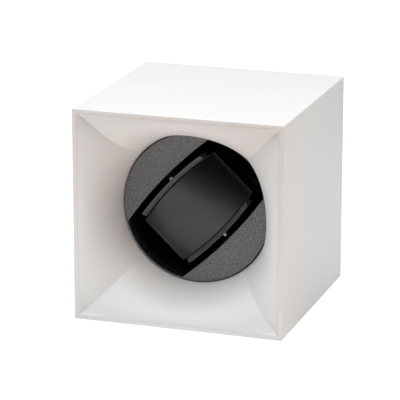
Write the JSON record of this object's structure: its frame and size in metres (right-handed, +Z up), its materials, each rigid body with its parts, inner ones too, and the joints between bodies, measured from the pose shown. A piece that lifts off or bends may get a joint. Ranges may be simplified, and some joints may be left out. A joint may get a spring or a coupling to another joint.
{
  "type": "watch winder box",
  "caption": "White cube with a square-to-round funnel front, a slotted rotor turned by a geared motor, and a sprung slide-out watch holder.",
  "frame": {"origin": "middle of the cube's underside, at the level of the feet", "axes": "+Z up, the open front faces -Y, +X to the right seen from the front"},
  "size_m": [0.106, 0.106, 0.1066],
  "materials": {
    "white_shell": "satin moulded white",
    "white_funnel": "satin moulded white",
    "foot_rubber": "matt",
    "panel_black": "fine-grained",
    "frame_black": "moulded",
    "button_black": "satin",
    "bright_steel": "bright",
    "peg_steel": "polished",
    "motor_steel": "zinc-plated",
    "bearing_brass": "machined",
    "contact_brass": "stamped",
    "board_green": "solder mask",
    "cell_wrap": "printed sleeve left plain",
    "cheek_black": "sand-grained",
    "drum_black": "moulded",
    "gear_white": "moulded",
    "holder_black": "satin",
    "pad_black": "soft satin skin",
    "jaw_soft": "soft"
  },
  "bodies": {
    "case": {"cube_sleeve": "white_shell", "front_funnel": "white_funnel", "rubber_feet": "foot_rubber", "rear_panel": "panel_black", "case_screws": "bright_steel", "chassis_frame": "frame_black", "frame_screws": "bright_steel", "rotor_bearing": "bearing_brass", "drive_motor": "motor_steel", "motor_screws": "bright_steel", "control_board": "board_green", "board_screws": "bright_steel", "tact_switch": "frame_black", "power_socket": "frame_black", "socket_pin": "bright_steel", "battery_tubes": "frame_black", "battery_cells": "cell_wrap", "cell_springs": "bright_steel"},
    "battery_door": {"battery_door": "panel_black", "door_contact": "contact_brass"},
    "mode_button": {"mode_button": "button_black", "switch_plunger": "bright_steel"},
    "pinion": {"drive_pinion": "bearing_brass", "motor_shaft": "bright_steel"},
    "rotor": {"rotor_face": "cheek_black", "rotor_drum": "drum_black", "rotor_gear": "gear_white", "gear_screws": "bright_steel", "rotor_shaft": "bright_steel", "thrust_washer": "bright_steel", "shaft_clip": "bright_steel"},
    "holder": {"holder_frame": "holder_black", "holder_pad": "pad_black", "holder_springs": "bright_steel", "rest_pegs": "peg_steel"},
    "holder_jaw": {"holder_jaw": "holder_black", "jaw_pad": "jaw_soft", "guide_pins": "bright_steel"}
  },
  "joints": [
    {"name": "rotor_turn", "type": "hinge", "parent": "case", "child": "rotor", "pos_m": [0, 0.0308, 0.0536], "axis": [0, 1, 0], "continuous": true},
    {"name": "pinion_turn", "type": "hinge", "parent": "case", "child": "pinion", "pos_m": [0.02546, 0.0308, 0.07906], "axis": [0, 1, 0], "continuous": true},
    {"name": "holder_slide", "type": "slide", "parent": "rotor", "child": "holder", "axis": [0, -1, 0], "range_m": [0, 0.075]},
    {"name": "jaw_slide", "type": "slide", "parent": "holder", "child": "holder_jaw", "axis": [0, -1, 0], "range_m": [0, 0.008], "stiffness_N_per_m": 300, "springref_m": -0.01, "deforming": ["holder_springs"]},
    {"name": "door_swing", "type": "hinge", "parent": "case", "child": "battery_door", "pos_m": [0, 0.0516, 0.0046], "axis": [-1, 0, 0], "range_deg": [0, 95]},
    {"name": "button_press", "type": "slide", "parent": "case", "child": "mode_button", "axis": [0, -1, 0], "range_m": [0, 0.0005], "stiffness_N_per_m": 2000, "springref_m": -0.0003}
  ],
  "couplings": [
    {"joint": "pinion_turn", "follows": "rotor_turn", "ratio": -5}
  ]
}
